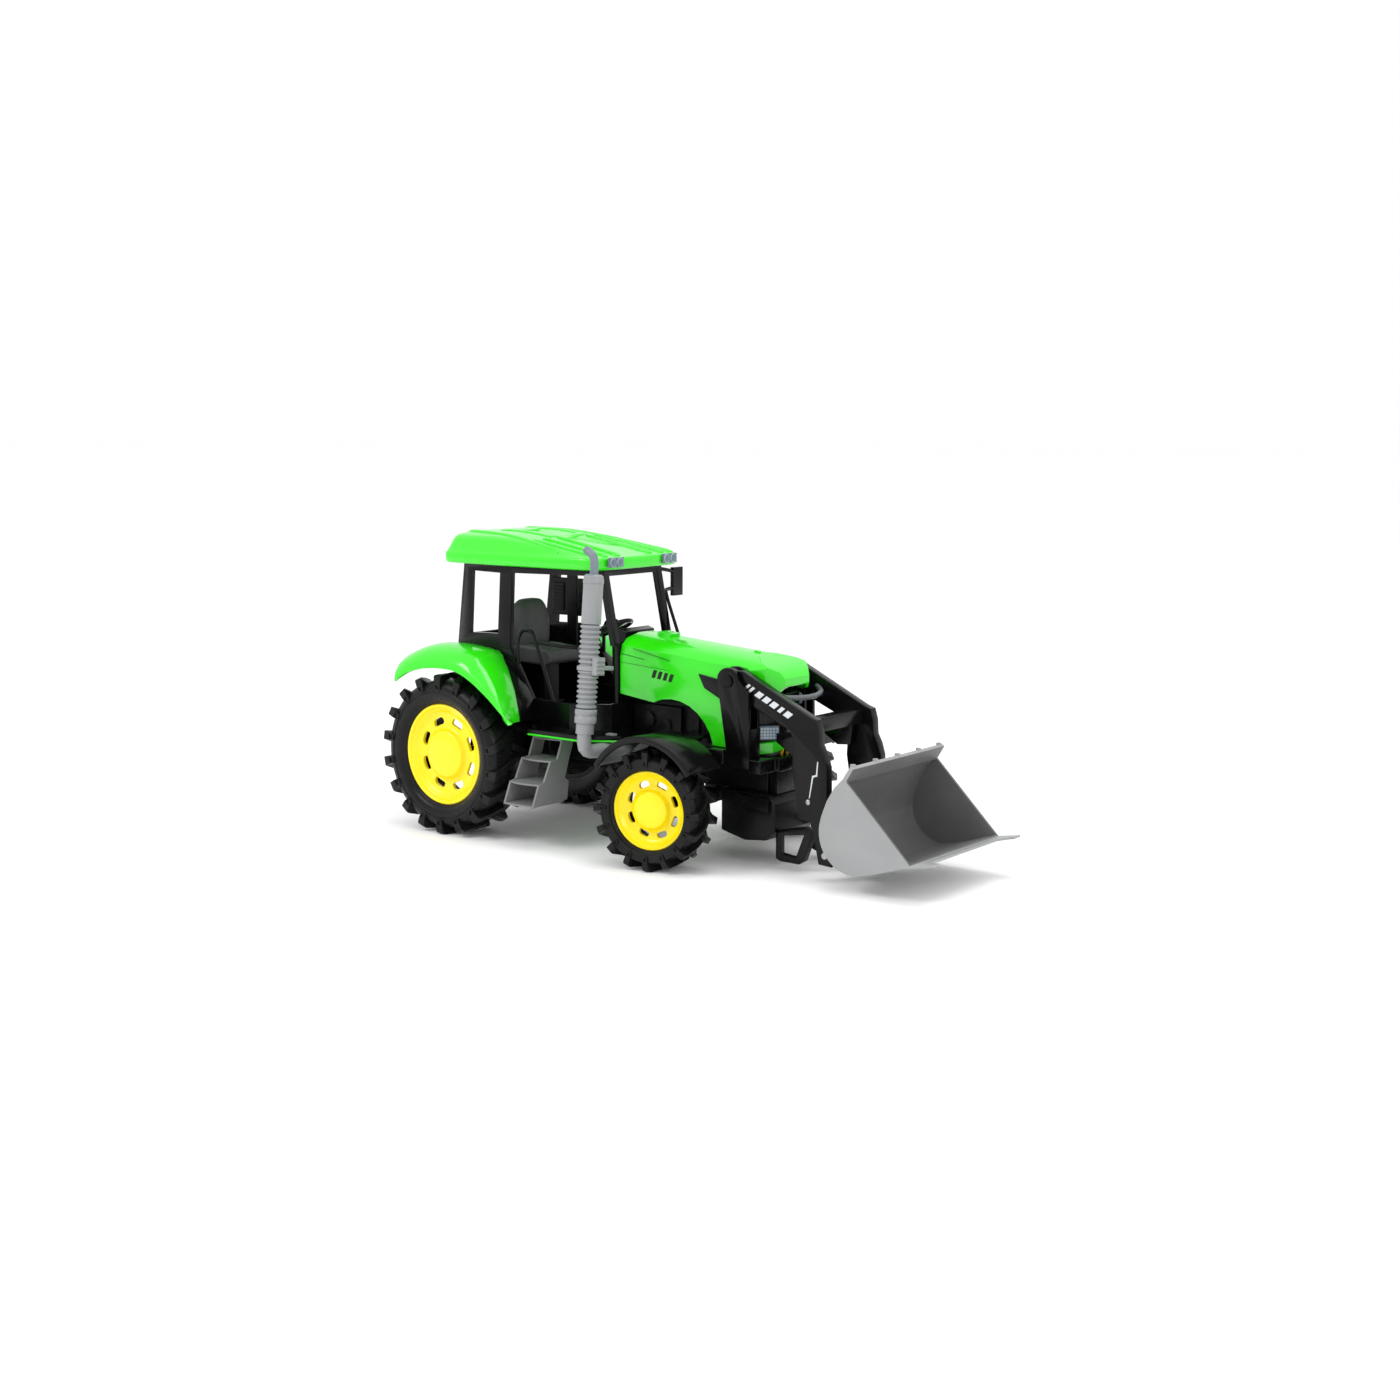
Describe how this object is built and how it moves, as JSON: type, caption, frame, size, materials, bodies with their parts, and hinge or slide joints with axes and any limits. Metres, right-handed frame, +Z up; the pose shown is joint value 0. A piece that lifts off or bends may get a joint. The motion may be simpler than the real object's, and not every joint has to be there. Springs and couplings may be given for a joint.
{
  "type": "toy front loader tractor",
  "caption": "Toy farm tractor with cab, treaded wheels, steering front axle and a front loader whose arms lift and whose bucket tilts.",
  "frame": {"origin": "on the floor, under the middle of the machine's overall length and width", "axes": "+X forwards towards the bucket, +Y to the driver's left, +Z up"},
  "size_m": [0.476, 0.205, 0.2313],
  "materials": {
    "green_shell": "glossy bright green moulded plastic",
    "black_plastic": "glossy black moulded plastic",
    "frame_black": "semi-matt black moulded plastic",
    "yellow_rim": "glossy yellow moulded plastic",
    "tyre_black": "soft black tread",
    "pipe_grey": "satin light grey moulded plastic",
    "bucket_grey": "satin grey moulded plastic",
    "step_grey": "satin mid grey moulded plastic",
    "seat_grey": "satin dark grey moulded plastic",
    "lamp_grey": "glossy grey-blue lamp",
    "pin_steel": "plain steel"
  },
  "bodies": {
    "tractor": {"chassis_frame": "frame_black", "rear_axle_housings": "frame_black", "side_tanks": "frame_black", "tow_hitch": "frame_black", "front_axle_beam": "frame_black", "kingpins": "pin_steel", "cab_frame": "black_plastic", "cab_floor": "black_plastic", "roof": "green_shell", "roof_lights": "lamp_grey", "seat": "seat_grey", "seat_base": "frame_black", "dashboard": "black_plastic", "steering_column": "black_plastic", "rear_fender_right": "green_shell", "rear_fender_left": "green_shell", "arch_liners": "black_plastic", "running_boards": "green_shell", "door_rails": "black_plastic", "mirror_arm": "black_plastic", "hood": "green_shell", "hood_inserts": "black_plastic", "engine_block": "frame_black", "front_grille": "black_plastic", "nose_lights": "lamp_grey", "headlights": "lamp_grey", "bumper_strip": "green_shell", "front_fender_right": "black_plastic", "front_fender_left": "black_plastic", "exhaust_elbow": "pipe_grey", "exhaust_bellows": "pipe_grey", "exhaust_muffler": "pipe_grey", "exhaust_clamp": "pipe_grey", "steps_right": "step_grey", "steps_left": "step_grey", "loader_bracket_right": "black_plastic", "loader_bracket_left": "black_plastic", "loader_subframe": "black_plastic", "arm_pivot_pins": "pin_steel", "front_weight": "frame_black", "front_stay": "black_plastic"},
    "rear_wheels": {"rear_axle": "pin_steel", "rear_tyre_right": "tyre_black", "rear_tyre_left": "tyre_black", "rear_rim_right": "yellow_rim", "rear_rim_left": "yellow_rim"},
    "knuckle_right": {"knuckle_right": "frame_black"},
    "knuckle_left": {"knuckle_left": "frame_black"},
    "tie_rod": {"tie_rod": "frame_black"},
    "front_wheel_right": {"front_tyre_right": "tyre_black", "front_rim_right": "yellow_rim"},
    "front_wheel_left": {"front_tyre_left": "tyre_black", "front_rim_left": "yellow_rim"},
    "steering_wheel": {"steering_wheel": "black_plastic"},
    "loader_arms": {"loader_arm_right": "black_plastic", "loader_arm_left": "black_plastic", "cross_beam": "black_plastic", "handle_bar": "pipe_grey", "bucket_pins": "pin_steel"},
    "bucket": {"bucket": "bucket_grey"}
  },
  "joints": [
    {"name": "rear_axle_spin", "type": "hinge", "parent": "tractor", "child": "rear_wheels", "pos_m": [-0.1765, 0, 0.0615], "axis": [0, 1, 0], "continuous": true},
    {"name": "steer_right", "type": "hinge", "parent": "tractor", "child": "knuckle_right", "pos_m": [0.0215, -0.07, 0.043], "axis": [0, 0, 1], "range_deg": [-33, 12]},
    {"name": "steer_left", "type": "hinge", "parent": "tractor", "child": "knuckle_left", "pos_m": [0.0215, 0.07, 0.043], "axis": [0, 0, 1], "range_deg": [-33, 12]},
    {"name": "tie_rod_pivot", "type": "hinge", "parent": "knuckle_right", "child": "tie_rod", "pos_m": [0.00774, -0.0726, 0.0418], "axis": [0, 0, 1], "range_deg": [-12, 33]},
    {"name": "front_wheel_right_spin", "type": "hinge", "parent": "knuckle_right", "child": "front_wheel_right", "pos_m": [0.0215, -0.07, 0.043], "axis": [-0.1857, 0.9826, 0], "continuous": true},
    {"name": "front_wheel_left_spin", "type": "hinge", "parent": "knuckle_left", "child": "front_wheel_left", "pos_m": [0.0215, 0.07, 0.043], "axis": [-0.1857, 0.9826, 0], "continuous": true},
    {"name": "steering_wheel_spin", "type": "hinge", "parent": "tractor", "child": "steering_wheel", "pos_m": [-0.0815, 0, 0.1578], "axis": [-0.4352, 0, 0.9003], "continuous": true},
    {"name": "loader_lift", "type": "hinge", "parent": "tractor", "child": "loader_arms", "pos_m": [0.0585, 0, 0.133], "axis": [0, -1, 0], "range_deg": [-4, 50]},
    {"name": "bucket_tilt", "type": "hinge", "parent": "loader_arms", "child": "bucket", "pos_m": [0.1395, 0, 0.018], "axis": [0, 1, 0], "range_deg": [-14, 60]}
  ],
  "couplings": [
    {"joint": "steer_left", "follows": "steer_right", "ratio": 1},
    {"joint": "tie_rod_pivot", "follows": "steer_right", "ratio": -1}
  ]
}
